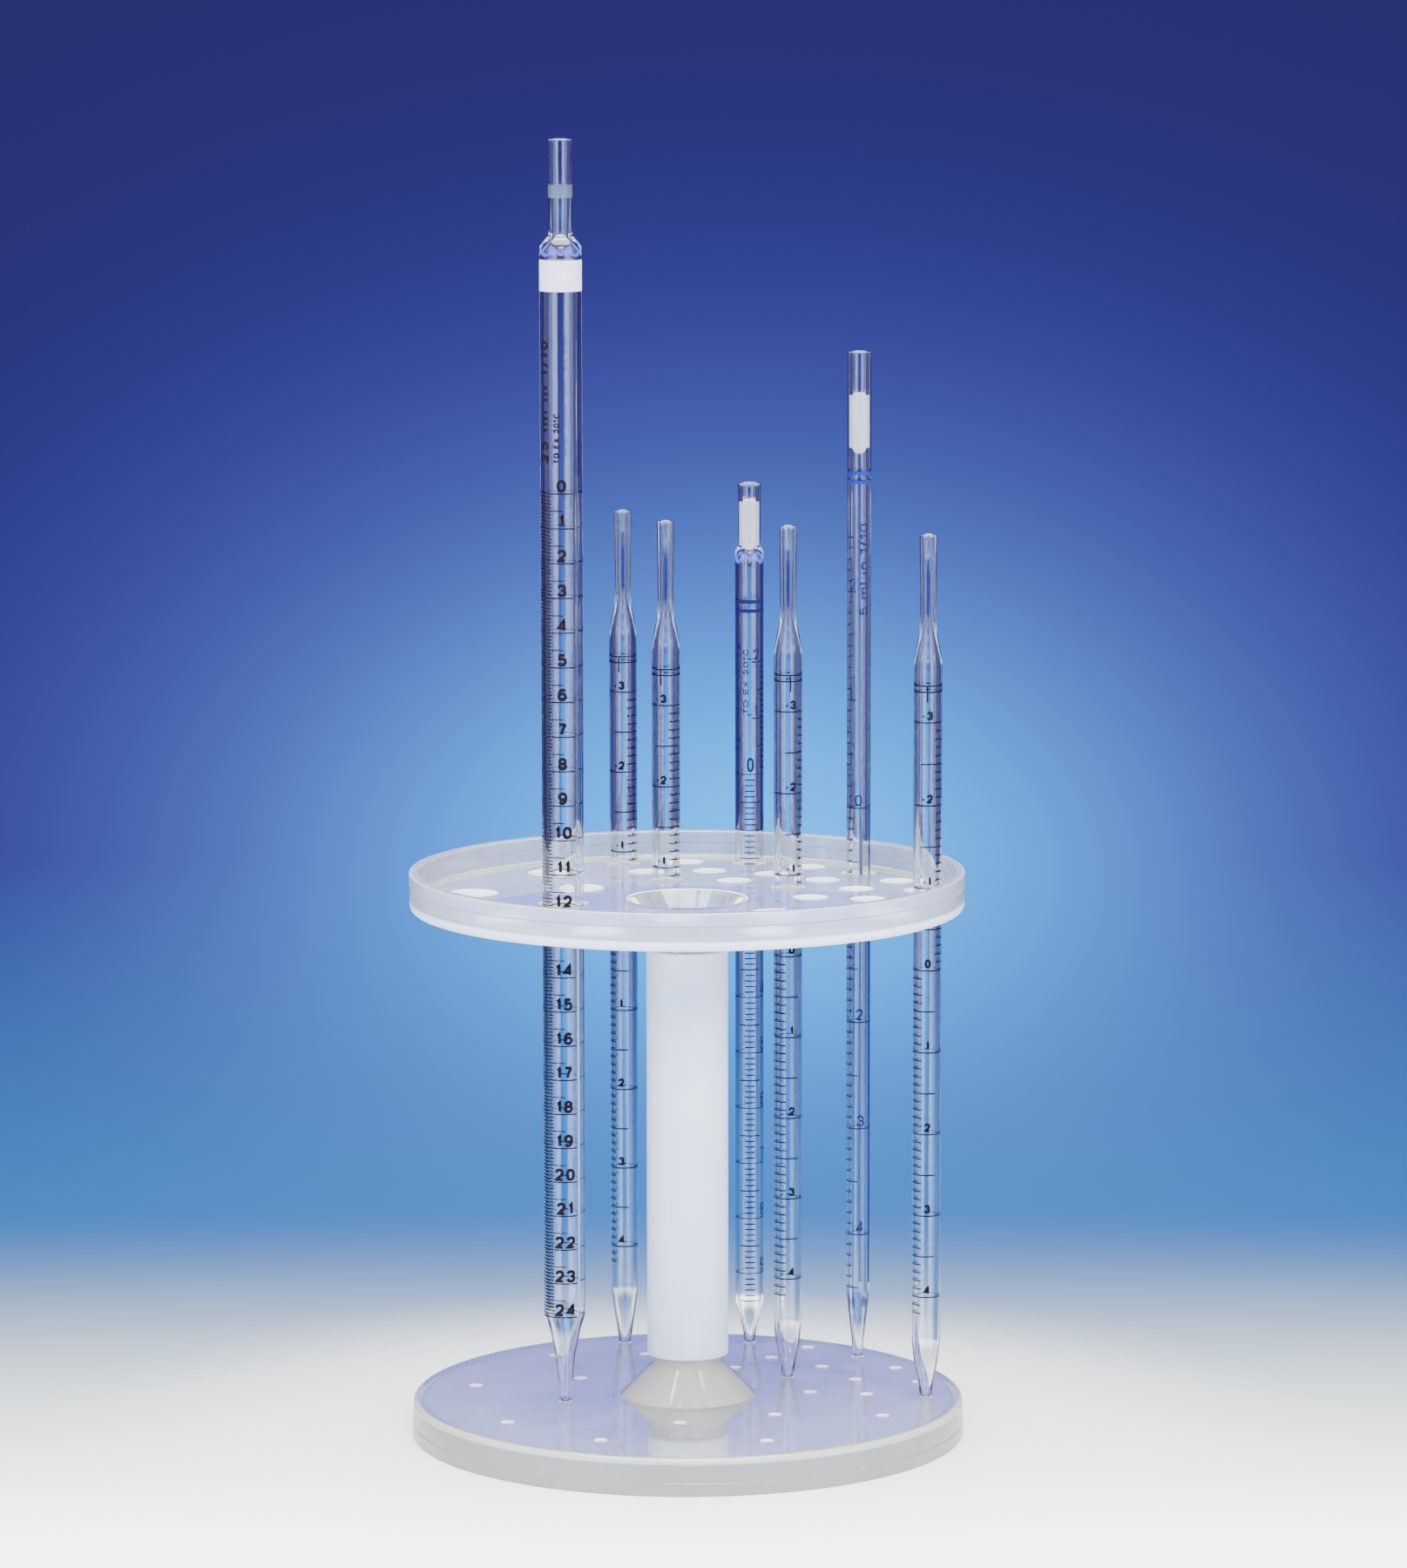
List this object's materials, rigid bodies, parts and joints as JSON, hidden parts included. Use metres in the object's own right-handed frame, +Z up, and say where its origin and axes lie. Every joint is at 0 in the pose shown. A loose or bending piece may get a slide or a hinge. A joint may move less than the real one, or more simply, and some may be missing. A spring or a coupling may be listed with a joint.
{
  "type": "pipette set",
  "caption": "Round two-dish pipette stand on a centre tube, holding graduated pipettes that lift out through guide holes, some with fibre plugs.",
  "frame": {"origin": "centre of the base dish's bottom rim, on the bench", "axes": "+Z up along the centre tube; -Y is the front, the side the picture looks at; +X to its right"},
  "size_m": [0.198, 0.198, 0.4639],
  "materials": {
    "natural_pp": "translucent, glossy",
    "tube_pp": "satin",
    "glass": "polished",
    "cotton": "fibrous",
    "dyed_fibre": "fibrous",
    "dark_print": "fired-on print",
    "blue_print": "fired-on print",
    "white_print": "fired-on print"
  },
  "bodies": {
    "base": {"base_dish": "natural_pp"},
    "column": {"column_tube": "tube_pp"},
    "tray": {"tray_dish": "natural_pp"},
    "unit_25ml": {"pipette_25ml": "glass"},
    "unit_10ml": {"pipette_10ml": "glass", "plug_10ml": "cotton"},
    "unit_5ml_long": {"pipette_5ml_long": "glass", "plug_5ml_long": "cotton"},
    "unit_5ml_short_1": {"pipette_5ml_short_1": "glass", "plug_5ml_short_1": "dyed_fibre"},
    "unit_5ml_short_2": {"pipette_5ml_short_2": "glass", "plug_5ml_short_2": "dyed_fibre"},
    "unit_5ml_short_3": {"pipette_5ml_short_3": "glass", "plug_5ml_short_3": "dyed_fibre"},
    "unit_5ml_short_4": {"pipette_5ml_short_4": "glass", "plug_5ml_short_4": "dyed_fibre"}
  },
  "joints": [
    {"name": "column_lift", "type": "slide", "parent": "base", "child": "column", "axis": [0, 0, 1], "range_m": [0, 0.03]},
    {"name": "tray_lift", "type": "slide", "parent": "column", "child": "tray", "axis": [0, 0, 1], "range_m": [0, 0.03]},
    {"name": "lift_25ml", "type": "slide", "parent": "base", "child": "unit_25ml", "axis": [0, 0, 1], "range_m": [0, 0.2]},
    {"name": "lift_10ml", "type": "slide", "parent": "base", "child": "unit_10ml", "axis": [0, 0, 1], "range_m": [0, 0.2]},
    {"name": "lift_5ml_long", "type": "slide", "parent": "base", "child": "unit_5ml_long", "axis": [0, 0, 1], "range_m": [0, 0.2]},
    {"name": "lift_5ml_short_1", "type": "slide", "parent": "base", "child": "unit_5ml_short_1", "axis": [0, 0, 1], "range_m": [0, 0.2]},
    {"name": "lift_5ml_short_2", "type": "slide", "parent": "base", "child": "unit_5ml_short_2", "axis": [0, 0, 1], "range_m": [0, 0.2]},
    {"name": "lift_5ml_short_3", "type": "slide", "parent": "base", "child": "unit_5ml_short_3", "axis": [0, 0, 1], "range_m": [0, 0.2]},
    {"name": "lift_5ml_short_4", "type": "slide", "parent": "base", "child": "unit_5ml_short_4", "axis": [0, 0, 1], "range_m": [0, 0.2]}
  ]
}
